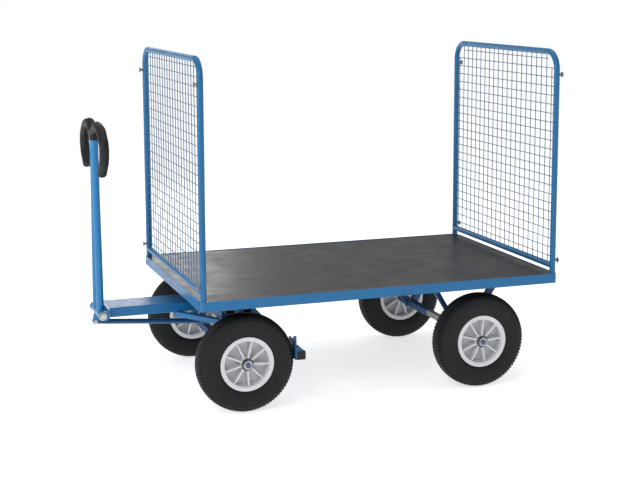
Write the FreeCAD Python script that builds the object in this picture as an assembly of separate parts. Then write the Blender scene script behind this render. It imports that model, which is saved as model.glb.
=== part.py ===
import FreeCAD, Part
import math, os
from FreeCAD import Vector as V

# Hand-drawn platform trolley with turntable steering, four pneumatic wheels,
# two plug-in mesh end walls and a drawbar-operated tyre brake.
# Row frame: +X towards the rear, +Y towards the right-hand side of the
# trolley, +Z up, floor at Z = 0.  "left" is -Y, "right" is +Y, "front" is -X.
# Every X below is measured from the middle of the loading platform; the
# finished pieces are moved by PLATFORM_X so that the origin sits under the
# middle of the whole trolley.

# ---------------------------------------------------------------- dimensions
PLATFORM_X = 161.25       # platform centre, from the row origin

PL, PW = 1560.0, 1000.0   # platform outside length and width
FRAME_TOP, FRAME_H = 472.0, 40.0
FRAME_BOT = FRAME_TOP - FRAME_H
LIP = 3.0                 # upstand round the deck board
LEDGE = 30.0              # width of the rail's box section
DECK_TOP, DECK_T = 470.0, 15.0
DECK_BOT = DECK_TOP - DECK_T
SOCK_R, SOCK_BORE = 16.0, 12.8
POST_R = 12.5             # end-wall tube
POST_X, POST_Y = PL / 2 - SOCK_R, PW / 2 - SOCK_R

WALL_TOP = 1420.0
WALL_BEND = 75.0
RAIL_Z = 504.5
WIRE_R = 1.75
ROW_PITCH, ROW_FIRST, ROW_COUNT = 38.0, 541.0, 23
STUD_Z = (527.0, 1314.0)

TYRE_R, TYRE_W = 200.0, 100.0
RIM_R = 110.0
WHEEL_Y = 431.5
REAR_X, FRONT_X = 442.0, -586.0
AXLE_Z = 200.0
AXLE_SQ = 25.0
SPIGOT_R = 10.0
SLEEVE_SQ = 31.0
SLEEVE_IN = 75.0          # inner end of each axle sleeve
SLEEVE_OUT = 386.0
HUB_IN, HUB_OUT = 390.0, 476.0
AXLE_END = 488.5
STRUT_Y = 294.0
STRUT_DX = 142.0

DRAW_W, DRAW_TOP, DRAW_H = 152.0, 377.0, 40.0
DRAW_BOT = DRAW_TOP - DRAW_H
DRAW_X0, DRAW_X1 = -1058.0, -500.0
HINGE_X, HINGE_Z = -1087.0, 350.0
SLEEVE_R = 17.0
LEG_R = 15.0
LEAN = 0.0               # upright pull bar leans this many degrees forward
PIN_DX, PIN_DZ = -16.0, -42.0
ROD_R = 11.0
ROD_END_X, ROD_END_Z = -400.0, 251.0
BRAKE_X, BRAKE_Z = -468.0, 352.0     # brake beam pivot
BEAM_X, BEAM_Z, BEAM_SQ = -360.0, 216.0, 34.0
BEAM_HALF = 478.0

OUT = {}


def put(name, *shapes):
    """Store one node: a single solid or a group of separate solids."""
    OUT.setdefault(name, []).extend(shapes)


def box(x0, x1, y0, y1, z0, z1):
    return Part.makeBox(x1 - x0, y1 - y0, z1 - z0, V(x0, y0, z0))


def cyl(p, d, r, h):
    return Part.makeCylinder(r, h, V(*p), V(*d))


def cyl_y(x, z, r, y0, y1):
    return cyl((x, y0, z), (0, 1, 0), r, y1 - y0)


def tube_y(x, z, r, ri, y0, y1):
    return cyl_y(x, z, r, y0, y1).cut(cyl_y(x, z, ri, y0 - 1, y1 + 1))


def prism_y(pts, y0, y1):
    """Plate of outline pts (x, z) between two Y planes."""
    w = Part.makePolygon([V(x, y0, z) for x, z in pts] + [V(pts[0][0], y0, pts[0][1])])
    return Part.Face(w).extrude(V(0, y1 - y0, 0))


def square_tube(p, q, a, b, wall, up=V(0, 1, 0)):
    """Rectangular tube from p to q; a is the size along 'up', b across it."""
    p, q = V(*p), V(*q)
    d = q.sub(p)
    n = V(d.x, d.y, d.z)
    n.normalize()
    u = up
    v = n.cross(u)

    def sect(h, w):
        c = [p + u * sx * h / 2 + v * sy * w / 2 for sx, sy in ((-1, -1), (1, -1), (1, 1), (-1, 1))]
        return Part.Face(Part.makePolygon(c + [c[0]]))
    s = sect(a, b).extrude(d)
    if wall:
        s = s.cut(sect(a - 2 * wall, b - 2 * wall).extrude(d))
    return s


def bent_wire(pts, radii):
    """Straight runs joined by tangent arcs."""
    pts = [V(*p) for p in pts]
    edges, last = [], pts[0]
    for i in range(1, len(pts) - 1):
        a, b, c = pts[i - 1], pts[i], pts[i + 1]
        u, w = a.sub(b), c.sub(b)
        u.normalize()
        w.normalize()
        ang = math.acos(max(-1, min(1, u.dot(w))))
        r = radii if isinstance(radii, (int, float)) else radii[i - 1]
        t = r / math.tan(ang / 2)
        p0, p1 = b + u * t, b + w * t
        bis = u + w
        bis.normalize()
        mid = b + bis * (r / math.sin(ang / 2) - r)
        if p0.sub(last).Length > 1e-6:
            edges.append(Part.LineSegment(last, p0).toShape())
        edges.append(Part.Arc(p0, mid, p1).toShape())
        last = p1
    edges.append(Part.LineSegment(last, pts[-1]).toShape())
    return Part.Wire(edges)


def pipe(pts, radii, r, ri=0):
    w = bent_wire(pts, radii)
    e = w.Edges[0]
    p, t = e.valueAt(e.FirstParameter), e.tangentAt(e.FirstParameter)

    def sweep(rad):
        prof = Part.Wire([Part.makeCircle(rad, p, t)])
        return w.makePipeShell([prof], True, False)
    s = sweep(r)
    if ri:
        s = s.cut(sweep(ri))
    return s


def hexagon_y(x, z, af, y0, y1):
    r = af / math.sqrt(3)
    pts = [(x + r * math.cos(math.radians(60 * i)), z + r * math.sin(math.radians(60 * i))) for i in range(6)]
    return prism_y(pts, y0, y1)


def hexagon_z(x, y, af, z0, z1):
    r = af / math.sqrt(3)
    c = [V(x + r * math.cos(math.radians(60 * i)), y + r * math.sin(math.radians(60 * i)), z0) for i in range(6)]
    return Part.Face(Part.makePolygon(c + [c[0]])).extrude(V(0, 0, z1 - z0))


def revolve_y(pts):
    """Solid of revolution about the Y axis; pts are (radius, y)."""
    w = Part.makePolygon([V(r, y, 0) for r, y in pts] + [V(pts[0][0], pts[0][1], 0)])
    return Part.Face(w).revolve(V(0, 0, 0), V(0, 1, 0), 360)


def mirror_y(s):
    return s.mirror(V(0, 0, 0), V(0, 1, 0))


# ------------------------------------------------------------------ platform
# Stepped rail section: a box under the deck edge with a thin upstand outside.
def rail_section(o, i):
    """(offset across, z) pairs, o = outside coordinate, i = +1/-1 inwards."""
    outer = [(o, FRAME_BOT), (o, FRAME_TOP), (o + i * LIP, FRAME_TOP), (o + i * LIP, DECK_BOT),
             (o + i * LEDGE, DECK_BOT), (o + i * LEDGE, FRAME_BOT)]
    inner = [(o + i * LIP, FRAME_BOT + 3), (o + i * LIP, DECK_BOT - 3),
             (o + i * (LEDGE - 3), DECK_BOT - 3), (o + i * (LEDGE - 3), FRAME_BOT + 3)]
    return outer, inner


def rail_x(o, i, x0, x1):
    a, b = rail_section(o, i)

    def f(pts):
        return Part.Face(Part.makePolygon([V(x0, y, z) for y, z in pts] + [V(x0, pts[0][0], pts[0][1])])).extrude(V(x1 - x0, 0, 0))
    return f(a).cut(f(b))


def rail_y(o, i, y0, y1):
    a, b = rail_section(o, i)
    return prism_y(a, y0, y1).cut(prism_y(b, y0, y1))


sockets_solid = [cyl((sx * POST_X, sy * POST_Y, FRAME_BOT - 1), (0, 0, 1), SOCK_R, FRAME_H + 2)
                 for sx in (-1, 1) for sy in (-1, 1)]
left = rail_x(-PW / 2, 1, -POST_X, POST_X)
right = rail_x(PW / 2, -1, -POST_X, POST_X)
front = rail_y(-PL / 2, 1, -POST_Y, POST_Y)
rear = rail_y(PL / 2, -1, -POST_Y, POST_Y)
# mitre the end rails against the side rails
mitre = []
for sx in (-1, 1):
    for sy in (-1, 1):
        cx, cy = sx * (PL / 2 - LEDGE), sy * (PW / 2 - LEDGE)
        x0, x1 = sorted((cx, sx * PL / 2))
        y0, y1 = sorted((cy, sy * PW / 2))
        mitre.append(box(x0, x1, y0, y1, FRAME_BOT - 1, FRAME_TOP + 1))
for c in mitre:
    front = front.cut(c)
    rear = rear.cut(c)
for c in sockets_solid:
    left, right, front, rear = left.cut(c), right.cut(c), front.cut(c), rear.cut(c)


def biggest(s):
    return max(s.Solids, key=lambda q: q.Volume)


put("side_rail_left", biggest(left))
put("side_rail_right", biggest(right))
put("end_rail_front", biggest(front))
put("end_rail_rear", biggest(rear))

for sx in (-1, 1):
    for sy in (-1, 1):
        s = cyl((sx * POST_X, sy * POST_Y, FRAME_BOT), (0, 0, 1), SOCK_R, FRAME_H)
        s = s.cut(cyl((sx * POST_X, sy * POST_Y, FRAME_BOT + 3), (0, 0, 1), SOCK_BORE, FRAME_H))
        put("corner_sockets", s)

deck = box(-PL / 2 + LIP + .5, PL / 2 - LIP - .5, -PW / 2 + LIP + .5, PW / 2 - LIP - .5, DECK_BOT, DECK_TOP)
for sx in (-1, 1):
    for sy in (-1, 1):
        x0, x1 = sorted((sx * POST_X, sx * (PL / 2 + 5)))
        y0, y1 = sorted((sy * POST_Y, sy * (PW / 2 + 5)))
        notch = cyl((sx * POST_X, sy * POST_Y, DECK_BOT - 1), (0, 0, 1), SOCK_R + .5, DECK_T + 2)
        notch = notch.fuse(box(x0, x1, y0, y1, DECK_BOT - 1, DECK_TOP + 1))
        deck = biggest(deck.cut(notch))
put("deck_board", biggest(deck))

# hollow cross members under the deck
for x in (-300.0, 0.0, REAR_X - STRUT_DX, REAR_X + STRUT_DX):
    put("cross_members", box(x - 20, x + 20, -PW / 2 + LEDGE, PW / 2 - LEDGE, FRAME_BOT + 3, DECK_BOT)
        .cut(box(x - 17.5, x + 17.5, -PW / 2 + LEDGE, PW / 2 - LEDGE, FRAME_BOT + 5.5, DECK_BOT - 2.5)))

# two flat beams that carry the turntable, run out under the side rails
BEAM_BOT = FRAME_BOT - 18
for x in (-676.0, -606.0):
    put("turntable_beams", box(x, x + 36, -490, 490, BEAM_BOT, FRAME_BOT)
        .cut(box(x + 2.5, x + 33.5, -490, 490, BEAM_BOT + 2.5, FRAME_BOT - 2.5))
        .cut(cyl((FRONT_X, 0, BEAM_BOT - 1), (0, 0, 1), 15.0, 20)))

# slewing ring: flanged upper half, ball row, flanged lower half, king pin
RZ = BEAM_BOT - 5
upper = box(FRONT_X - 150, FRONT_X + 110, -140, 140, RZ, BEAM_BOT)
upper = upper.fuse(Part.makeCylinder(105, 10, V(FRONT_X, 0, RZ - 10)).cut(Part.makeCylinder(80, 12, V(FRONT_X, 0, RZ - 11))))
upper = upper.cut(Part.makeTorus(92.5, 5.1, V(FRONT_X, 0, RZ - 11), V(0, 0, 1)))
upper = upper.cut(cyl((FRONT_X, 0, RZ - 20), (0, 0, 1), 10.08, 40))
put("turntable_upper", biggest(upper))
LZ = DRAW_TOP
lower = box(FRONT_X - 130, FRONT_X + 130, -140, 140, LZ, LZ + 5)
lower = lower.fuse(Part.makeCylinder(105, RZ - 12 - LZ - 5, V(FRONT_X, 0, LZ + 5)).cut(Part.makeCylinder(80, 30, V(FRONT_X, 0, LZ + 4))))
lower = lower.cut(Part.makeTorus(92.5, 5.1, V(FRONT_X, 0, RZ - 11), V(0, 0, 1)))
lower = lower.cut(cyl((FRONT_X, 0, LZ - 5), (0, 0, 1), 10.08, 40))
put("turntable_lower", biggest(lower))
for i in range(36):
    a = math.radians(10 * i)
    put("turntable_balls", Part.makeSphere(4.8, V(FRONT_X + 92.5 * math.cos(a), 92.5 * math.sin(a), RZ - 11)))
pin = cyl((FRONT_X, 0, DRAW_TOP - 22), (0, 0, 1), 10.0, BEAM_BOT - DRAW_TOP + 22)
pin = pin.fuse(hexagon_z(FRONT_X, 0, 23, BEAM_BOT, BEAM_BOT + 12))
nut = hexagon_z(FRONT_X, 0, 30, DRAW_TOP - 15, DRAW_TOP - 3.2).cut(cyl((FRONT_X, 0, DRAW_TOP - 20), (0, 0, 1), 10.0, 22))
put("king_pin", pin, nut)


# --------------------------------------------------------------------- axles
def axle(x):
    a = box(x - AXLE_SQ / 2, x + AXLE_SQ / 2, -HUB_IN + 1, HUB_IN - 1, AXLE_Z - AXLE_SQ / 2, AXLE_Z + AXLE_SQ / 2)
    return a.fuse(cyl_y(x, AXLE_Z, SPIGOT_R, -AXLE_END, AXLE_END)).removeSplitter()


def axle_sleeves(x):
    out = []
    for s in (-1, 1):
        y0, y1 = sorted((s * SLEEVE_IN, s * SLEEVE_OUT))
        h = SLEEVE_SQ / 2
        b = box(x - h, x + h, y0, y1, AXLE_Z - h, AXLE_Z + h)
        b = b.makeFillet(4.0, [e for e in b.Edges if abs(e.Length - (y1 - y0)) < .01])
        k = AXLE_SQ / 2
        out.append(b.cut(box(x - k, x + k, y0 - 1, y1 + 1, AXLE_Z - k, AXLE_Z + k)))
    return out


def collars(x):
    out = []
    for s in (-1, 1):
        y0, y1 = sorted((s * (HUB_OUT - 3.4), s * AXLE_END))
        out.append(tube_y(x, AXLE_Z, 17.0, SPIGOT_R, y0, y1))
        # domed cap pressed on the axle end
        c = cyl_y(x, AXLE_Z, 11.5, *sorted((s * AXLE_END, s * (AXLE_END + 5))))
        ed = [e for e in c.Edges if abs(abs(e.BoundBox.Center.y) - (AXLE_END + 5)) < .01 and e.Closed and e.Curve.TypeId == "Part::GeomCircle"]
        out.append(c.makeFillet(2.0, ed))
    return out


put("rear_axle", axle(REAR_X))
put("rear_axle_sleeves", *axle_sleeves(REAR_X))
put("rear_axle_collars", *collars(REAR_X))
put("front_axle", axle(FRONT_X))
put("front_axle_sleeves", *axle_sleeves(FRONT_X))
put("front_axle_collars", *collars(FRONT_X))


def strut(x0, x1, y, ztop, across, thick, wall=2.5):
    """Leaning strut from the top of an axle sleeve to a flat underside."""
    zb = AXLE_Z
    s = square_tube((x0, y, zb - 30), (x0 + (x1 - x0) * (ztop + 40 - (zb - 30)) / (ztop - zb), y, ztop + 40), thick, across, wall)
    s = s.common(box(-2000, 2000, y - 60, y + 60, AXLE_Z - 60, ztop))
    h = SLEEVE_SQ / 2
    core = box(x0 - h, x0 + h, y - 60, y + 60, AXLE_Z - 80, AXLE_Z + h)
    return s.cut(core)


for s in (-1, 1):
    y = s * STRUT_Y
    for dx, ac, th in ((-STRUT_DX, 20.0, 20.0), (STRUT_DX, 28.0, 20.0)):
        # each foot is trimmed on the sleeve and at the middle of the V
        st = strut(REAR_X, REAR_X + dx, y, FRAME_BOT + 3, ac, th)
        half = box(REAR_X - 600, REAR_X, y - 60, y + 60, 0, 600) if dx < 0 else box(REAR_X, REAR_X + 600, y - 60, y + 60, 0, 600)
        put("rear_struts", biggest(st.common(half)))
    for dx in (-34.0, 46.0):
        st = strut(FRONT_X, FRONT_X + dx, y, DRAW_BOT, 24.0, 24.0)
        half = box(FRONT_X - 600, FRONT_X, y - 60, y + 60, 0, 600) if dx < 0 else box(FRONT_X, FRONT_X + 600, y - 60, y + 60, 0, 600)
        put("front_struts", biggest(st.common(half)))


# -------------------------------------------------------------- fore-carriage
drawbar = box(DRAW_X0, DRAW_X1, -DRAW_W / 2, DRAW_W / 2, DRAW_BOT, DRAW_TOP)
drawbar = drawbar.makeFillet(4.0, [e for e in drawbar.Edges if abs(e.Length - (DRAW_X1 - DRAW_X0)) < .01])
drawbar = drawbar.cut(box(DRAW_X0 - 1, DRAW_X1 + 1, -DRAW_W / 2 + 3, DRAW_W / 2 - 3, DRAW_BOT + 3, DRAW_TOP - 3))
drawbar = drawbar.cut(cyl((FRONT_X, 0, DRAW_TOP - 5), (0, 0, 1), 10.08, 10))
# access hole for the king pin nut
drawbar = drawbar.cut(cyl((FRONT_X, 0, DRAW_BOT - 5), (0, 0, 1), 20.0, 12))
drawbar = drawbar.cut(box(DRAW_X0 - 1, DRAW_X0 + 42, -20, 20, DRAW_BOT - 1, DRAW_BOT + 12))
put("drawbar", biggest(drawbar))

for s in (-1, 1):
    for x, yo in ((-640.0, 300.0), (-560.0, 362.0)):
        y0, y1 = sorted((s * DRAW_W / 2, s * yo))
        b = box(x, x + 40, y0, y1, DRAW_BOT, DRAW_TOP)
        b = b.makeFillet(3.0, [e for e in b.Edges if abs(e.Length - (y1 - y0)) < .01])
        yi0, yi1 = (y0, y1 - 3) if s > 0 else (y0 + 3, y1)
        put("bolsters", b.cut(box(x + 2.5, x + 37.5, yi0, yi1, DRAW_BOT + 2.5, DRAW_TOP - 2.5)))
    # flat diagonal braces from the drawbar underside to the bolster ends
    a, c = V(-775, s * 52, DRAW_BOT - 20), V(-628, s * 262, DRAW_BOT - 20)
    d = c.sub(a)
    d.normalize()
    n = V(-d.y, d.x, 0)
    pts = [a + n * 13, c + n * 13, c - n * 13, a - n * 13]
    put("drawbar_braces", Part.Face(Part.makePolygon(pts + [pts[0]])).extrude(V(0, 0, 20)))

# hinge bracket: cross plate on the drawbar nose with two ears
EAR0, EAR1 = 93.0, 99.0
bracket = box(DRAW_X0 - 6, DRAW_X0, -EAR1, EAR1, DRAW_BOT, DRAW_TOP)
for s in (-1, 1):
    y0, y1 = sorted((s * EAR0, s * EAR1))
    ear = box(HINGE_X, DRAW_X0 - 6, y0, y1, HINGE_Z - 19, HINGE_Z + 19).fuse(cyl_y(HINGE_X, HINGE_Z, 19, y0, y1))
    bracket = bracket.fuse(ear)
bracket = bracket.cut(cyl_y(HINGE_X, HINGE_Z, 8.0, -120, 120))
bracket = bracket.cut(box(DRAW_X0 - 20, DRAW_X0 + 1, -24, 24, DRAW_BOT - 5, HINGE_Z + 2))
bracket = bracket.cut(cyl_y(HINGE_X, HINGE_Z, SLEEVE_R + 1.5, -EAR0, EAR0))
put("hinge_bracket", biggest(bracket.removeSplitter()))

bolt = cyl_y(HINGE_X, HINGE_Z, 8.0, -116, 99).fuse(hexagon_y(HINGE_X, HINGE_Z, 24, 99, 109))
wash = tube_y(HINGE_X, HINGE_Z, 17.0, 8.0, -102, -99)
nut = hexagon_y(HINGE_X, HINGE_Z, 24, -115, -102).cut(cyl_y(HINGE_X, HINGE_Z, 8.0, -116, -101))
put("hinge_bolt", bolt, wash, nut)
put("return_spring", tube_y(HINGE_X, HINGE_Z, 12.75, 9.75, -70, -20))

# ears behind the drawbar that carry the brake beam pivot
for s in (-1, 1):
    y0, y1 = sorted((s * DRAW_W / 2, s * (DRAW_W / 2 + 6)))
    h = prism_y([(-519.8, DRAW_BOT + 4), (-519.8, DRAW_TOP - 4), (BRAKE_X, BRAKE_Z + 14), (BRAKE_X, BRAKE_Z - 14)], y0, y1)
    h = h.fuse(cyl_y(BRAKE_X, BRAKE_Z, 14, y0, y1)).cut(cyl_y(BRAKE_X, BRAKE_Z, 6.0, y0 - 1, y1 + 1))
    put("brake_hangers", h)
p = cyl_y(BRAKE_X, BRAKE_Z, 6.0, -92, DRAW_W / 2 + 6).fuse(hexagon_y(BRAKE_X, BRAKE_Z, 18, DRAW_W / 2 + 6, DRAW_W / 2 + 13))
put("brake_pivot_bolt", p, hexagon_y(BRAKE_X, BRAKE_Z, 18, -90, -82).cut(cyl_y(BRAKE_X, BRAKE_Z, 6.0, -400, 400)))

# -------------------------------------------------------------------- pull bar
lean_c, lean_ax = V(HINGE_X, 0, HINGE_Z), V(0, 1, 0)


def leaned(s):
    s = s.copy()
    s.rotate(lean_c, lean_ax, -LEAN)
    return s


sleeve = tube_y(HINGE_X, HINGE_Z, SLEEVE_R, 8.08, -92.5, 92.5)
sleeve = sleeve.cut(cyl_y(HINGE_X, HINGE_Z, 14.2, -82, 82))
px, pz = HINGE_X + PIN_DX, HINGE_Z + PIN_DZ
for s in (-1, 1):
    y0, y1 = sorted((s * 6.5, s * 12.5))
    L = math.hypot(PIN_DX, PIN_DZ)
    nx, nz = -PIN_DZ / L, PIN_DX / L
    lug = prism_y([(HINGE_X + nx * 15, HINGE_Z + nz * 15), (px + nx * 10, pz + nz * 10),
                   (px - nx * 10, pz - nz * 10), (HINGE_X - nx * 15, HINGE_Z - nz * 15)], y0, y1)
    lug = lug.fuse(cyl_y(px, pz, 10, y0, y1)).cut(cyl_y(HINGE_X, HINGE_Z, SLEEVE_R - .5, y0 - 1, y1 + 1))
    sleeve = sleeve.fuse(lug)
sleeve = sleeve.cut(cyl_y(px, pz, 5.0, -20, 20))
put("hinge_sleeve", biggest(sleeve.removeSplitter()))
pinf = cyl_y(px, pz, 5.0, -18, 12.5).fuse(hexagon_y(px, pz, 15, 12.5, 18))
pinn = hexagon_y(px, pz, 15, -18, -12.5).cut(cyl_y(px, pz, 5.0, -19, 0))
put("rod_pin_front", pinf, pinn)

LEG_TOP = 1081.0
for s, nm in ((-1, "pull_bar_leg_left"), (1, "pull_bar_leg_right")):
    leg = pipe([(HINGE_X, s * 45, HINGE_Z), (HINGE_X, s * 31, 672), (HINGE_X, s * 15.05, 912), (HINGE_X, s * 15.05, LEG_TOP)],
               [900, 900], LEG_R, LEG_R - 2.5)
    leg = leg.cut(cyl_y(HINGE_X, HINGE_Z, SLEEVE_R, -200, 200))
    leg = leg.cut(box(HINGE_X - 60, HINGE_X + 60, -200, 200, 200, HINGE_Z + 4))
    put(nm, leaned(biggest(leg)))

BOW = [(0, 1088), (75, 1130), (165, 1118), (230, 1062), (218, 1000), (160, 943)]
bow_r = [60, 60, 50, 60]


def bow_pts(end_trim=0.0):
    r = [(HINGE_X, y, z) for y, z in BOW]
    l = [(HINGE_X, -y, z) for y, z in BOW[1:]]
    return r, l


def bow_pipe(r, trim):
    """Handle bow about the centre line; trim shortens both ends."""
    R, Lf = bow_pts()

    def cutback(a, b):
        a, b = V(*a), V(*b)
        d = a.sub(b)
        d.normalize()
        return tuple(b + d * trim)
    R[-1] = cutback(R[-2], R[-1])
    Lf[-1] = cutback(Lf[-2], Lf[-1])
    pts = list(reversed(R)) + Lf
    rad = list(reversed(bow_r)) + [60] + bow_r
    return pipe(pts, rad, r)


bow = bow_pipe(13.5, 24.0)
sleeve_g = bow_pipe(19.5, 8.0)
for e in (1, -1):
    # domed ends of the grip
    a, b = V(HINGE_X, e * BOW[-2][0], BOW[-2][1]), V(HINGE_X, e * BOW[-1][0], BOW[-1][1])
    d = a.sub(b)
    d.normalize()
    c = b + d * 8.0
    dome = Part.makeCylinder(19.5, 9.0, c, d * -1)
    ed = [q for q in dome.Edges if q.Closed and q.Curve.TypeId == "Part::GeomCircle" and (q.BoundBox.Center.sub(c)).Length > 5]
    dome = dome.makeFillet(8.0, ed)
    sleeve_g = sleeve_g.fuse(dome)
# boot of the grip round the two tubes
boot = box(HINGE_X - 18.5, HINGE_X + 18.5, -33.5, 33.5, 1066, 1098)
boot = boot.makeFillet(16.0, [q for q in boot.Edges if abs(q.Length - 32) < .01])
sleeve_g = sleeve_g.fuse(boot).cut(bow)
for s in (-1, 1):
    sleeve_g = sleeve_g.cut(cyl((HINGE_X, s * 15.05, 1060), (0, 0, 1), LEG_R, LEG_TOP - 1060))
put("handle_bow", leaned(biggest(bow.cut(bow_pipe(11.0, 27.0)))))
put("grip_sleeve", leaned(biggest(sleeve_g)))

# ------------------------------------------------------------------ brake gear
rx, rz = ROD_END_X, ROD_END_Z
dx, dz = rx - px, rz - pz
RL = math.hypot(dx, dz)
ux, uz = dx / RL, dz / RL
T0, T1 = 34.0, RL - 34.0
rod = cyl((px + ux * T0, 0, pz + uz * T0), (ux, 0, uz), ROD_R, T1 - T0)
rod = rod.cut(cyl((px + ux * (T0 + 3), 0, pz + uz * (T0 + 3)), (ux, 0, uz), ROD_R - 2.5, T1 - T0 - 6))
eye = prism_y([(px - uz * -9, pz + ux * -9), (px + ux * 40 - uz * -9, pz + uz * 40 + ux * -9),
               (px + ux * 40 + uz * -9, pz + uz * 40 - ux * -9), (px + uz * -9, pz - ux * -9)], -5.5, 5.5)
eye = eye.fuse(cyl_y(px, pz, 9, -5.5, 5.5)).cut(cyl_y(px, pz, 5.08, -10, 10))
rod = rod.fuse(eye)
for s in (-1, 1):
    y0, y1 = sorted((s * 5.0, s * 10.0))
    f = prism_y([(rx - uz * -9, rz + ux * -9), (rx - ux * 40 - uz * -9, rz - uz * 40 + ux * -9),
                 (rx - ux * 40 + uz * -9, rz - uz * 40 - ux * -9), (rx + uz * -9, rz - ux * -9)], y0, y1)
    f = f.fuse(cyl_y(rx, rz, 9, y0, y1)).cut(cyl_y(rx, rz, 5.0, -20, 20))
    rod = rod.fuse(f)
put("brake_rod", biggest(rod.removeSplitter()))
pr = cyl_y(rx, rz, 5.0, -13, 10).fuse(cyl_y(rx, rz, 8, 10, 14))
put("rod_pin_rear", pr)

h = BEAM_SQ / 2
beam = box(BEAM_X - h, BEAM_X + h, -BEAM_HALF + 2, BEAM_HALF - 2, BEAM_Z - h, BEAM_Z + h)
beam = beam.makeFillet(3.0, [e for e in beam.Edges if abs(e.Length - 2 * (BEAM_HALF - 2)) < .01])
beam = beam.cut(box(BEAM_X - h + 3, BEAM_X + h - 3, -BEAM_HALF, BEAM_HALF, BEAM_Z - h + 3, BEAM_Z + h - 3))
put("brake_beam", beam)
for s in (-1, 1):
    y0, y1 = sorted((s * (BEAM_HALF - 2), s * BEAM_HALF))
    yp0, yp1 = sorted((s * (BEAM_HALF - 14), s * (BEAM_HALF - 2)))
    cap = box(BEAM_X - h, BEAM_X + h, y0, y1, BEAM_Z - h, BEAM_Z + h)
    cap = cap.fuse(box(BEAM_X - h + 3, BEAM_X + h - 3, yp0, yp1, BEAM_Z - h + 3, BEAM_Z + h - 3))
    put("brake_beam_caps", cap)
    # shoe: upright plate against the tyre tread, two gussets to the beam
    SX = FRONT_X + TYRE_R + 1.0
    y0, y1 = sorted((s * 389, s * 475))
    shoe = box(SX, SX + 5, y0, y1, BEAM_Z - h, 277)
    shoe = shoe.fuse(box(SX + 5, BEAM_X - h, y0, y1, BEAM_Z - h, BEAM_Z + h))
    for g0, g1 in (sorted((s * 389, s * 394)), sorted((s * 470, s * 475))):
        shoe = shoe.fuse(prism_y([(SX + 5, BEAM_Z + h), (SX + 5, 254), (BEAM_X + h, BEAM_Z + h)], g0, g1))
    shoe = shoe.fuse(cyl((SX + 0.5, s * 466, 277), (0, 0, 1), 6.5, 18))
    shoe = shoe.fuse(box(SX, SX + 5, *sorted((s * 458, s * 474)), 270, 280))
    put("brake_shoes", biggest(shoe.removeSplitter()))
# pivot tube with two hanging arms
arms = tube_y(BRAKE_X, BRAKE_Z, 11.0, 6.08, -DRAW_W / 2 + .5, DRAW_W / 2 - .5)
for s in (-1, 1):
    y0, y1 = sorted((s * 46, s * 54))
    arm = prism_y([(BRAKE_X - 10, BRAKE_Z - 8), (BRAKE_X + 10, BRAKE_Z + 4), (BEAM_X + 14, BEAM_Z + h), (BEAM_X - 17, BEAM_Z + h)], y0, y1)
    arm = arm.fuse(cyl_y(BRAKE_X, BRAKE_Z, 14, y0, y1)).cut(cyl_y(BRAKE_X, BRAKE_Z, 6.08, -500, 500))
    arms = arms.fuse(arm)
put("brake_arms", biggest(arms.removeSplitter()))
# middle lever with a long hole for the rod pin
lev = prism_y([(BEAM_X - h, BEAM_Z - 12), (BEAM_X - h, BEAM_Z + h), (BEAM_X + 4, BEAM_Z + h), (BEAM_X + 4, BEAM_Z + h + 6),
               (rx + 6, rz + 19), (rx - 15, rz + 19), (rx - 15, rz - 19)], -3, 3)
SLOT_W, SLOT_H = 17.0, 26.0
slot = box(rx - SLOT_W / 2, rx + SLOT_W / 2, -5, 5, rz - SLOT_H / 2 + SLOT_W / 2, rz + SLOT_H / 2 - SLOT_W / 2)
for k in (-1, 1):
    slot = slot.fuse(cyl_y(rx, rz + k * (SLOT_H - SLOT_W) / 2, SLOT_W / 2, -5, 5))
put("brake_arms", biggest(lev.cut(slot)))


# ---------------------------------------------------------------------- wheels
def rim_solid(phase):
    # flanged barrel with a web in its middle plane and a hub tube
    prof = [(RIM_R, 44), (94, 44), (93, 40), (91.5, 36), (90.5, 4), (25, 4), (25, 44.5), (21, 44.5),
            (21, -41.5), (25, -41.5), (25, -4), (90.5, -4), (91.5, -36), (93, -40), (94, -44),
            (RIM_R, -44), (RIM_R, -39), (100, -36), (100, 36), (RIM_R, 39)]
    s = revolve_y(prof)
    for i in range(9):
        a = phase + 40 * i
        rib = Part.makeBox(72, 80, 6.4, V(23, -39.5, -3.2))
        rib = rib.common(revolve_y([(23, -39), (92, -35), (92, 35), (23, 39)]))
        rib.rotate(V(0, 0, 0), V(0, 1, 0), a)
        s = s.fuse(rib)
    return s


def tyre_solid():
    # hollow carcass; beads sit on the rim between the flanges
    pts_o = [(100.2, -35.9), (110.2, -38.9), (111, -41), (126, -46), (150, -50), (166, -49.5), (180, -46), (190, -41), (196.5, -32), (199.2, -18), (200, 0)]
    pts_o += [(r, -y) for r, y in reversed(pts_o[:-1])]
    pts_i = [(106, -27), (112, -33), (128, -39), (150, -42), (168, -41), (180, -36), (187, -26), (190, 0)]
    pts_i += [(r, -y) for r, y in reversed(pts_i[:-1])]
    return revolve_y(pts_o).cut(revolve_y(pts_i))


def bearing(y0, y1):
    return revolve_y([(21.0, y0), (21.0, y1), (17.5, y1), (17.5, y1 - 1), (14.5, y1 - 1), (14.5, y1), (SPIGOT_R + .06, y1),
                      (SPIGOT_R + .06, y0), (14.5, y0), (14.5, y0 + 1), (17.5, y0 + 1), (17.5, y0)])


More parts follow.
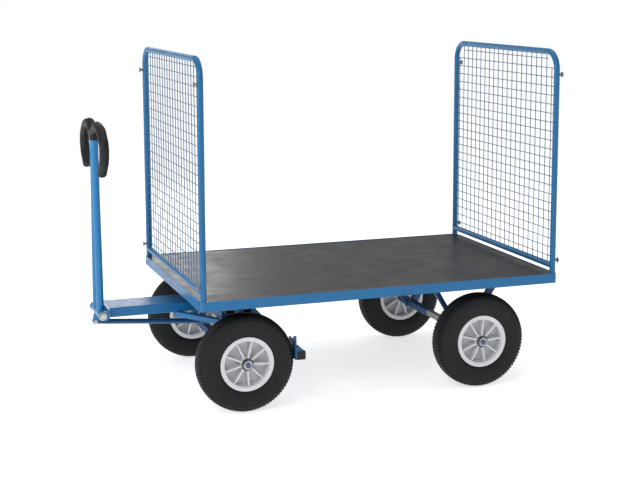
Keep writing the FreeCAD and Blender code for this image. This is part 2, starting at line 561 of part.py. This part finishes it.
PHASE = {"front_left": 6.0, "front_right": 25.0, "rear_left": 13.0, "rear_right": 20.0}
for name, ph in PHASE.items():
    x = FRONT_X if name.startswith("front") else REAR_X
    s = -1 if name.endswith("left") else 1
    # local +Y is outboard; the left wheels are turned half a turn about Z
    rim = rim_solid(90 + ph if s < 0 else 90 - ph)
    tyre = tyre_solid()
    br = [bearing(27, 39), bearing(-40, -28)]
    for node, shapes in (("rim_" + name, [rim]), ("tyre_" + name, [tyre]), ("bearings_" + name, br)):
        for q in shapes:
            q = q.copy()
            if s < 0:
                q.rotate(V(0, 0, 0), V(0, 0, 1), 180)
            q.translate(V(x, s * WHEEL_Y, AXLE_Z))
            put(node, q)

# ------------------------------------------------------------------- end walls
for sx, tag, wires in ((-1, "front", [(k + .5) * 45.0 for k in range(-10, 10)]), (1, "rear", [k * 44.5 for k in range(-10, 11)])):
    X = sx * POST_X
    zc = WALL_TOP - POST_R
    hoop = pipe([(X, -POST_Y, FRAME_BOT + 3), (X, -POST_Y, zc), (X, POST_Y, zc), (X, POST_Y, FRAME_BOT + 3)], WALL_BEND, POST_R, POST_R - 2)
    put("end_wall_tube_" + tag, hoop)
    bar = tube_y(X, RAIL_Z, POST_R, POST_R - 2, -POST_Y, POST_Y)
    for s in (-1, 1):
        bar = bar.cut(cyl((X, s * POST_Y, 400), (0, 0, 1), POST_R, 400))
    put("end_wall_rail_" + tag, biggest(bar))
    # welded wire mesh: uprights inside, cross wires outside
    inner = POST_R - .4
    bend_y, bend_z = POST_Y - WALL_BEND, zc - WALL_BEND
    last = abs(wires[-1])
    xv, xh = X - sx * WIRE_R, X + sx * WIRE_R
    for y in wires:
        top = zc - inner
        if abs(y) > bend_y:
            top = bend_z + math.sqrt(max(0, (WALL_BEND - inner) ** 2 - (abs(y) - bend_y) ** 2)) if abs(y) < 440 else ROW_FIRST + 21 * ROW_PITCH + 3
        put("end_wall_mesh_" + tag, cyl((xv, y, RAIL_Z + inner), (0, 0, 1), WIRE_R, top - RAIL_Z - inner))
    for k in range(ROW_COUNT):
        z = ROW_FIRST + k * ROW_PITCH
        ye = POST_Y - inner
        if z > bend_z:
            ye = bend_y + math.sqrt((WALL_BEND - inner) ** 2 - (z - bend_z) ** 2)
        if k == ROW_COUNT - 1:
            ye = (last if last < 440 else abs(wires[-2])) + 4
        put("end_wall_mesh_" + tag, cyl_y(xh, z, WIRE_R, -ye, ye))
    # hook-on studs for optional side panels
    for sy in (-1, 1):
        for z in STUD_Z:
            st = cyl((X, sy * POST_Y, z), (sx, 0, 0), 5.0, POST_R + 9.5)
            hd = cyl((X + sx * (POST_R + 9), sy * POST_Y, z), (sx, 0, 0), 11.0, 5.0)
            hd = hd.makeFillet(2.2, [e for e in hd.Edges if e.Closed and e.Curve.TypeId == "Part::GeomCircle"])
            st = st.fuse(hd).cut(cyl((X, sy * POST_Y, z - 40), (0, 0, 1), POST_R, 80))
            put("end_wall_studs_" + tag, biggest(st))

# -------------------------------------------------------------------- output
os.makedirs("parts", exist_ok=True)
bb = None
for name, shapes in OUT.items():
    moved = []
    for s in shapes:
        for q in s.Solids:
            q = q.copy()
            q.translate(V(PLATFORM_X, 0, 0))
            moved.append(q)
    s = moved[0] if len(moved) == 1 else Part.makeCompound(moved)
    s.exportStep("parts/" + name + ".step")
    b = s.optimalBoundingBox(True, False)
    bb = b if bb is None else bb.united(b)
    ok = all(q.isValid() and q.isClosed() for q in moved)
    print("%-24s %2d solid(s) %12.0f mm3 %s" % (name, len(moved), sum(q.Volume for q in moved), "" if ok else "CHECK"))
print("nodes", len(OUT), "bbox", [round(v, 3) for v in (bb.XMin, bb.XMax, bb.YMin, bb.YMax, bb.ZMin, bb.ZMax)], "centre x", round((bb.XMin + bb.XMax) / 2, 3))
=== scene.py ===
import bpy
import math
import numpy as np
from mathutils import Matrix, Vector


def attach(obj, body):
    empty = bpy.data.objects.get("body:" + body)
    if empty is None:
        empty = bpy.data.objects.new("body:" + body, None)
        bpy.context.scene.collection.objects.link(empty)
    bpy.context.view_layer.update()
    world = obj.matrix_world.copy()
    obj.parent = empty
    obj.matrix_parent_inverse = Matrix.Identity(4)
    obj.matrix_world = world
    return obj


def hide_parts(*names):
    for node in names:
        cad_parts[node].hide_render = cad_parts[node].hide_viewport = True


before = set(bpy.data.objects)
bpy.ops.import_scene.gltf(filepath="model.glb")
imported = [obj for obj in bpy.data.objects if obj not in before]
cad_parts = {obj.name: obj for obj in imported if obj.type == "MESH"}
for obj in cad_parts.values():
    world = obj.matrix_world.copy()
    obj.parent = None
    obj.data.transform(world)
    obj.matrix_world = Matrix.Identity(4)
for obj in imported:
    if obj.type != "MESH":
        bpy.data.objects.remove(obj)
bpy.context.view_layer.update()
XS = 0.16125
WHEELS = {"front_left": (-0.586, -1), "front_right": (-0.586, 1), "rear_left": (0.442, -1), "rear_right": (0.442, 1)}


# ------------------------------------------------------------------ materials
class Mat:
    """Small helper round a node material."""

    def __init__(self, name):
        self.m = bpy.data.materials.new(name)
        self.m.use_nodes = True
        self.t = self.m.node_tree
        self.bsdf = self.t.nodes["Principled BSDF"]
        self.co = self.t.nodes.new("ShaderNodeTexCoord").outputs["Object"]

    def node(self, kind, **props):
        n = self.t.nodes.new(kind)
        for k, v in props.items():
            setattr(n, k, v)
        return n

    def link(self, a, b):
        self.t.links.new(a, b)

    def scaled(self, sx, sy, sz):
        n = self.node("ShaderNodeMapping")
        n.inputs["Scale"].default_value = (sx, sy, sz)
        self.link(self.co, n.inputs["Vector"])
        return n.outputs["Vector"]

    def noise(self, scale, detail=4, rough=0.55, vec=None, dist=0.0):
        n = self.node("ShaderNodeTexNoise")
        n.inputs["Scale"].default_value = scale
        n.inputs["Detail"].default_value = detail
        n.inputs["Roughness"].default_value = rough
        n.inputs["Distortion"].default_value = dist
        self.link(vec if vec is not None else self.co, n.inputs["Vector"])
        return n.outputs["Fac"]

    def ramp(self, fac, stops):
        n = self.node("ShaderNodeValToRGB")
        e = n.color_ramp.elements
        while len(e) > 1:
            e.remove(e[-1])
        e[0].position, e[0].color = stops[0][0], (*stops[0][1], 1)
        for p, c in stops[1:]:
            q = e.new(p)
            q.color = (*c, 1)
        self.link(fac, n.inputs["Fac"])
        return n.outputs["Color"]

    def map(self, fac, a, b, lo, hi):
        n = self.node("ShaderNodeMapRange")
        for k, v in zip(("From Min", "From Max", "To Min", "To Max"), (a, b, lo, hi)):
            n.inputs[k].default_value = v
        self.link(fac, n.inputs["Value"])
        return n.outputs["Result"]

    def math(self, op, a, b=None):
        n = self.node("ShaderNodeMath", operation=op)
        for i, v in enumerate((a, b)):
            if v is None:
                continue
            if isinstance(v, (int, float)):
                n.inputs[i].default_value = v
            else:
                self.link(v, n.inputs[i])
        return n.outputs[0]

    def mix(self, fac, a, b):
        n = self.node("ShaderNodeMix", data_type="RGBA")
        self.link(fac, n.inputs[0])
        for i, v in ((6, a), (7, b)):
            if isinstance(v, tuple):
                n.inputs[i].default_value = (*v, 1)
            else:
                self.link(v, n.inputs[i])
        return n.outputs[2]

    def bump(self, h, strength, dist=0.001, prev=None):
        n = self.node("ShaderNodeBump")
        n.inputs["Strength"].default_value = strength
        n.inputs["Distance"].default_value = dist
        self.link(h, n.inputs["Height"])
        if prev is not None:
            self.link(prev, n.inputs["Normal"])
        return n.outputs["Normal"]

    def out(self, color=None, rough=None, normal=None, metal=0.0, **consts):
        for sock, v in (("Base Color", color), ("Roughness", rough), ("Normal", normal)):
            if v is not None:
                self.link(v, self.bsdf.inputs[sock])
        self.bsdf.inputs["Metallic"].default_value = metal
        for k, v in consts.items():
            self.bsdf.inputs[k.replace("_", " ")].default_value = v
        return self.m


def paint(name, base, dark, rough=0.34, coat=0.25, dust=0.35):
    """Enamelled steel: soft tone changes, orange peel, dust, a few chips."""
    m = Mat(name)
    tone = m.mix(m.map(m.noise(3.5, 5), 0.35, 0.7, 0, 1), dark, base)
    dirt = m.map(m.noise(22, 8, 0.7), 0.5, 0.85, 0, dust)
    c = m.mix(dirt, tone, tuple(0.55 * b + 0.12 for b in base))
    streak = m.noise(60, 6, 0.75, m.scaled(0.25, 1, 1), 0.4)
    chip = m.map(streak, 0.745, 0.775, 0, 0.8)
    c = m.mix(chip, c, (0.10, 0.115, 0.13))
    r = m.math("ADD", m.map(m.noise(45, 5), 0.3, 0.75, rough - 0.06, rough + 0.12), m.math("MULTIPLY", chip, 0.25))
    n = m.bump(m.noise(420, 3), 0.10, 0.0006)
    n = m.bump(m.math("MULTIPLY", streak, -1.0), 0.05, 0.0008, n)
    return m.out(c, r, n, 0.0, Coat_Weight=coat, Coat_Roughness=0.2, Specular_IOR_Level=0.35)


def metal(name, base, dark, rough=0.33, scale=1.0):
    m = Mat(name)
    c = m.mix(m.map(m.noise(55 * scale, 7, 0.65), 0.35, 0.7, 0, 1), dark, base)
    spots = m.map(m.noise(130 * scale, 4, 0.7), 0.66, 0.76, 0, 0.7)
    c = m.mix(spots, c, tuple(0.45 * b for b in dark))
    r = m.map(m.noise(90 * scale, 6), 0.3, 0.75, rough - 0.08, rough + 0.22)
    n = m.bump(m.noise(700, 4), 0.12, 0.0004)
    return m.out(c, r, n, 0.9)


def rubber(name, base, dusty, rough=0.6, grain=900.0, bump=0.25):
    m = Mat(name)
    d = m.map(m.noise(14, 8, 0.7), 0.42, 0.78, 0, 1)
    c = m.mix(d, base, dusty)
    r = m.map(m.noise(60, 6), 0.3, 0.75, rough - 0.08, rough + 0.14)
    n = m.bump(m.noise(grain, 4), bump, 0.0004)
    return m.out(c, r, n, 0.0, Specular_IOR_Level=0.28)


M = {}
M["blue"] = paint("paint_blue", (0.005, 0.135, 0.325), (0.004, 0.120, 0.295), 0.36, 0.12, 0.05)
# painted light: a lighter copy of the frame blue for the pull bar, standing in for the stronger light falling on it
# from the left
M["blue_painted_light"] = paint("paint_blue_painted_light", (0.008, 0.175, 0.41), (0.006, 0.158, 0.375), 0.30, 0.25, 0.05)
M["blue_wall"] = paint("paint_blue_wall", (0.005, 0.132, 0.305), (0.004, 0.115, 0.27), 0.36, 0.12, 0.05)
# painted shade: a darker copy of the frame blue for the underside parts, standing in for the shade they sit in
M["blue_painted_shade"] = paint("paint_blue_painted_shade", (0.012, 0.085, 0.215), (0.009, 0.062, 0.165), 0.42, 0.15, 0.2)
# painted shade: a near-black copy of the paint for the turntable beams, standing in for the shadow under the deck
M["shade"] = paint("paint_painted_shade_black", (0.002, 0.004, 0.009), (0.0015, 0.003, 0.007), 0.6, 0.0, 0.02)
M["mesh"] = paint("paint_mesh", (0.030, 0.120, 0.235), (0.024, 0.100, 0.20), 0.36, 0.25, 0.15)
M["zinc"] = metal("zinc_plate", (0.60, 0.60, 0.58), (0.42, 0.42, 0.41))
M["stud"] = metal("stud_zinc", (0.34, 0.34, 0.35), (0.20, 0.20, 0.21), 0.4)
M["steel"] = metal("bare_steel", (0.40, 0.39, 0.38), (0.26, 0.25, 0.25), 0.42)
M["tyre"] = rubber("tyre_rubber", (0.0052, 0.0054, 0.0060), (0.0085, 0.0087, 0.0092), 0.55, 700, 0.2)
M["grip"] = rubber("grip_rubber", (0.0075, 0.0075, 0.0082), (0.012, 0.012, 0.0125), 0.5, 520, 0.35)
M["black"] = rubber("black_plastic", (0.012, 0.012, 0.013), (0.03, 0.03, 0.03), 0.42, 480, 0.2)


def cap_blue():
    m = Mat("cap_blue")
    c = m.mix(m.map(m.noise(70, 5), 0.35, 0.7, 0, 1), (0.045, 0.085, 0.20), (0.065, 0.115, 0.25))
    return m.out(c, m.map(m.noise(60, 4), 0.3, 0.7, 0.3, 0.45), m.bump(m.noise(500, 3), 0.1, 0.0003), 0.3)


def rim():
    m = Mat("rim_plastic")
    c = m.mix(m.map(m.noise(18, 7, 0.65), 0.35, 0.75, 0, 1), (0.66, 0.665, 0.68), (0.58, 0.585, 0.60))
    grime = m.map(m.noise(75, 9, 0.75), 0.6, 0.85, 0, 0.3)
    c = m.mix(grime, c, (0.19, 0.185, 0.18))
    return m.out(c, m.map(m.noise(40, 5), 0.3, 0.7, 0.36, 0.52), m.bump(m.noise(380, 4), 0.12, 0.0004), 0.0)


def deck():
    """Film-faced plywood: brown-grey phenolic film with a fine wire print."""
    m = Mat("deck_plywood")
    grain = m.noise(5, 8, 0.62, m.scaled(0.35, 3.2, 1), 0.6)
    c = m.ramp(grain, [(0.32, (0.029, 0.0240, 0.0200)), (0.5, (0.033, 0.0275, 0.0235)), (0.68, (0.037, 0.0310, 0.0270))])
    scuff = m.map(m.noise(26, 9, 0.78, m.scaled(0.5, 1.6, 1), 1.2), 0.6, 0.85, 0, 0.08)
    c = m.mix(scuff, c, (0.15, 0.14, 0.13))
    w1 = m.node("ShaderNodeTexWave", wave_type="BANDS", bands_direction="X")
    w2 = m.node("ShaderNodeTexWave", wave_type="BANDS", bands_direction="Y")
    for w in (w1, w2):
        w.inputs["Scale"].default_value = 95.0
        m.link(m.co, w.inputs["Vector"])
    grid = m.math("MULTIPLY", w1.outputs["Fac"], w2.outputs["Fac"])
    n = m.bump(grid, 0.10, 0.0004)
    n = m.bump(m.noise(9, 5), 0.06, 0.003, n)
    r = m.math("ADD", m.map(m.noise(12, 7), 0.3, 0.75, 0.30, 0.46), m.math("MULTIPLY", scuff, 0.25))
    return m.out(c, r, n, 0.0, Specular_IOR_Level=0.4)


M["rim"] = rim()
M["deck"] = deck()
M["cap"] = cap_blue()

BY_NODE = {}
for n in ("side_rail_left", "side_rail_right", "end_rail_front", "end_rail_rear", "corner_sockets"):
    BY_NODE[n] = "blue"
for n in ("hinge_sleeve", "pull_bar_leg_left", "pull_bar_leg_right", "handle_bow", "hinge_bracket"):
    BY_NODE[n] = "blue_painted_light"
for n in ("drawbar", "drawbar_braces"):
    BY_NODE[n] = "blue"
# underside parts get the painted-shade copy of the blue
for n in ("cross_members", "rear_axle_sleeves", "rear_struts", "front_axle_sleeves", "front_struts",
          "bolsters", "brake_hangers", "brake_rod", "brake_arms", "brake_beam", "brake_shoes"):
    BY_NODE[n] = "blue_painted_shade"
for n in ("turntable_upper", "turntable_lower", "turntable_balls", "rear_axle", "front_axle", "return_spring"):
    BY_NODE[n] = "steel"
for n in ("king_pin", "rear_axle_collars", "front_axle_collars", "hinge_bolt", "brake_pivot_bolt", "rod_pin_front", "rod_pin_rear"):
    BY_NODE[n] = "zinc"
for w in WHEELS:
    BY_NODE["tyre_" + w], BY_NODE["rim_" + w], BY_NODE["bearings_" + w] = "tyre", "rim", "steel"
for e in ("front", "rear"):
    BY_NODE["end_wall_tube_" + e] = BY_NODE["end_wall_rail_" + e] = "blue_wall"
    BY_NODE["end_wall_mesh_" + e] = "mesh"
    BY_NODE["end_wall_studs_" + e] = "stud"
BY_NODE.update(deck_board="deck", grip_sleeve="grip", brake_beam_caps="black", turntable_beams="shade")
for name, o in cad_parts.items():
    o.data.materials.clear()
    o.data.materials.append(M[BY_NODE[name]])


def paint_faces(o, mat, want):
    """Gives the faces whose centre passes want() a second finish."""
    o.data.materials.append(M[mat])
    k = len(o.data.materials) - 1
    for p in o.data.polygons:
        if want(p.center):
            p.material_index = k


for axle, xa in (("front", -0.586 + XS), ("rear", 0.442 + XS)):
    paint_faces(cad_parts[axle + "_axle_collars"], "cap",
                lambda c, xa=xa: abs(c.y) > 0.48835 and math.hypot(c.x - xa, c.z - 0.2) < 0.0118)
for w, (x, s) in WHEELS.items():
    # painted shade: the rim hub's outer end painted black for the shadowed ring round the axle collar
    paint_faces(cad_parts["rim_" + w], "black",
                lambda c, x=x: math.hypot(c.x - x - XS, c.z - 0.2) < 0.0252 and abs(c.y) > 0.4755)


# --------------------------------------------------------------------- pieces
def mesh_object(name, verts, faces, mat, smooth=40.0):
    me = bpy.data.meshes.new(name)
    me.from_pydata([tuple(v) for v in verts], [], faces)
    me.validate()
    me.update()
    o = bpy.data.objects.new(name, me)
    bpy.context.scene.collection.objects.link(o)
    me.materials.append(mat)
    me.shade_smooth()
    try:
        me.set_sharp_from_angle(angle=math.radians(smooth))
    except Exception:
        pass
    return o


def revolved(name, prof, mat, n=96, disp=None, smooth=40.0, closed=True):
    """prof: (radius, y) loop turned about Y; disp(i, j, r, y, a) -> radius change."""
    prof = np.array(prof, float)
    k = len(prof)
    verts, faces = [], []
    for j in range(n):
        a = 2 * math.pi * j / n
        for i, (r, y) in enumerate(prof):
            d = disp(i, r, y, a) if disp else 0.0
            verts.append(((r + d) * math.cos(a), y, (r + d) * math.sin(a)))
    kk = k if closed else k - 1
    for j in range(n):
        j2 = (j + 1) % n
        for i in range(kk):
            i2 = (i + 1) % k
            faces.append((j * k + i, j * k + i2, j2 * k + i2, j2 * k + i))
    return mesh_object(name, verts, faces, mat, smooth)


def tyre_profile():
    """Outer skin from bead to bead and back inside, in mm."""
    half = [(104, 36.5), (111, 39.5), (114, 41.8), (118, 44.0), (124, 45.6), (126, 46.9), (128, 46.8), (130, 47.1), (138, 48.6), (146, 49.6),
            (154, 49.9), (161, 49.6), (167, 48.9), (171, 48.3), (172.5, 48.9), (175, 48.3), (178, 47.0), (182, 45.4), (186, 43.2),
            (189.5, 40.6), (192.2, 37.6), (194.4, 34.0), (196.0, 30.0), (197.2, 26.0), (197.9, 22.5), (198.4, 20.0), (198.8, 17.5),
            (199.1, 15.0), (199.35, 12.5), (199.6, 10.0), (199.75, 8.0), (199.85, 6.0), (199.95, 3.0)]
    out = half + [(200.0, 0.0)] + [(r, -y) for r, y in reversed(half)]
    inner = [(108, -30), (122, -38), (150, -43), (175, -40), (188, -24), (190, 0), (188, 24), (175, 40), (150, 43), (122, 38), (108, 30)]
    return [(r / 1000, y / 1000) for r, y in out + inner]


LUGS = 84
GROOVE = {}


def tread(i, r, y, a):
    """Ribbed centre and blocks with slanted slots on both shoulders."""
    if r < 0.176 or i > 66:
        return 0.0
    ya, side = abs(y) * 1000, 1 if y > 0 else -1
    u = (a * LUGS / (2 * math.pi) + (0.25 if side > 0 else 0.75)) % 1.0
    d = 0.0
    if ya > 16:
        slot = abs(u - 0.5) < 0.24 if ya > 21 else False
        if slot:
            edge = min(1.0, (ya - 21) / 4.0)
            depth = 4.6 if ya < 44 else 4.6 * max(0.0, (47.4 - ya) / 3.4)
            d -= depth * edge
    # four circumferential grooves, gently zigzagged
    z = 1.6 * (1 if (a * LUGS / (4 * math.pi)) % 1.0 < 0.5 else -1)
    for g, w in ((6.0 + 0.0, 2.2), (17.5, 2.4)):
        if abs(ya - g - 0.3 * z) < w * 0.62:
            d -= 3.4
    return d / 1000


WHEEL_TYRE = {}
for w, (x, s) in WHEELS.items():
    t = revolved("tyre_skin_" + w, tyre_profile(), M["tyre"], LUGS * 8, tread, 32.0)
    t.location = (x + XS, s * 0.4315, 0.2)
    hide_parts("tyre_" + w)
    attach(t, "wheel_" + w)

# ---------------------------------------------------------------- camera, light
scene = bpy.context.scene
yaw, pitch, roll = 0.34071, 0.14986, -0.00248
fw = Vector((math.sin(yaw) * math.cos(pitch), math.cos(yaw) * math.cos(pitch), -math.sin(pitch)))
right = Vector((math.cos(yaw), -math.sin(yaw), 0))
up = right.cross(fw)
r2 = math.cos(roll) * right + math.sin(roll) * up
u2 = -math.sin(roll) * right + math.cos(roll) * up
cam_data = bpy.data.cameras.new("camera")
cam = bpy.data.objects.new("camera", cam_data)
scene.collection.objects.link(cam)
rot = Matrix((r2, u2, -fw)).transposed().to_4x4()
cam.matrix_world = Matrix.Translation((-2.04691 + XS, -5.46023, 1.68632)) @ rot
cam_data.sensor_width = 36.0
cam_data.lens = 1351.49 * 36 / 640
cam_data.shift_x = 0.0
cam_data.shift_y = -0.08
cam_data.clip_end = 1500
scene.camera = cam

fm = Mat("floor_pale")
fc = fm.mix(fm.map(fm.noise(1.4, 5), 0.3, 0.7, 0, 1), (0.80, 0.80, 0.80), (0.84, 0.84, 0.84))
fm.out(fc, fm.map(fm.noise(6, 4), 0.3, 0.7, 0.6, 0.75), fm.bump(fm.noise(160, 3), 0.03, 0.0005), 0.0, Emission_Color=(1, 1, 1, 1), Emission_Strength=0.66)
fl = bpy.data.meshes.new("floor")
fl.from_pydata([(-400, -400, 0), (400, -400, 0), (400, 400, 0), (-400, 400, 0)], [], [(0, 1, 2, 3)])
floor = bpy.data.objects.new("floor", fl)
fl.materials.append(fm.m)
scene.collection.objects.link(floor)


def area(name, loc, target, size, power, colour=(1, 1, 1)):
    d = bpy.data.lights.new(name, "AREA")
    d.shape = "RECTANGLE"
    d.size, d.size_y = size
    d.energy = power
    d.color = colour
    o = bpy.data.objects.new(name, d)
    scene.collection.objects.link(o)
    o.location = loc
    o.rotation_euler = (Vector(target) - Vector(loc)).to_track_quat("-Z", "Y").to_euler()
    o.visible_camera = False
    return o


area("key", (-3.4, -4.4, 4.4), (-0.2, 0, 0.5), (2.6, 2.6), 105)
area("left", (-4.6, -0.8, 1.9), (-0.5, 0, 0.7), (2.4, 2.4), 60)
area("fill", (4.6, -3.6, 2.8), (0, 0, 0.6), (3.0, 3.0), 18)
area("top", (0.3, 0.6, 5.2), (0.2, 0, 0.4), (4.5, 4.0), 75)
area("back", (0.1, 5.6, 1.9), (-0.5, 0, 0.5), (2.0, 1.8), 30)
world = bpy.data.worlds.new("studio") if scene.world is None else scene.world
scene.world = world
world.use_nodes = True
bg = world.node_tree.nodes["Background"]
bg.inputs["Color"].default_value = (0.95, 0.965, 1.0, 1)
bg.inputs["Strength"].default_value = 0.42
scene.view_settings.view_transform = "Standard"
scene.view_settings.look = "None"
scene.render.resolution_x, scene.render.resolution_y = 640, 480
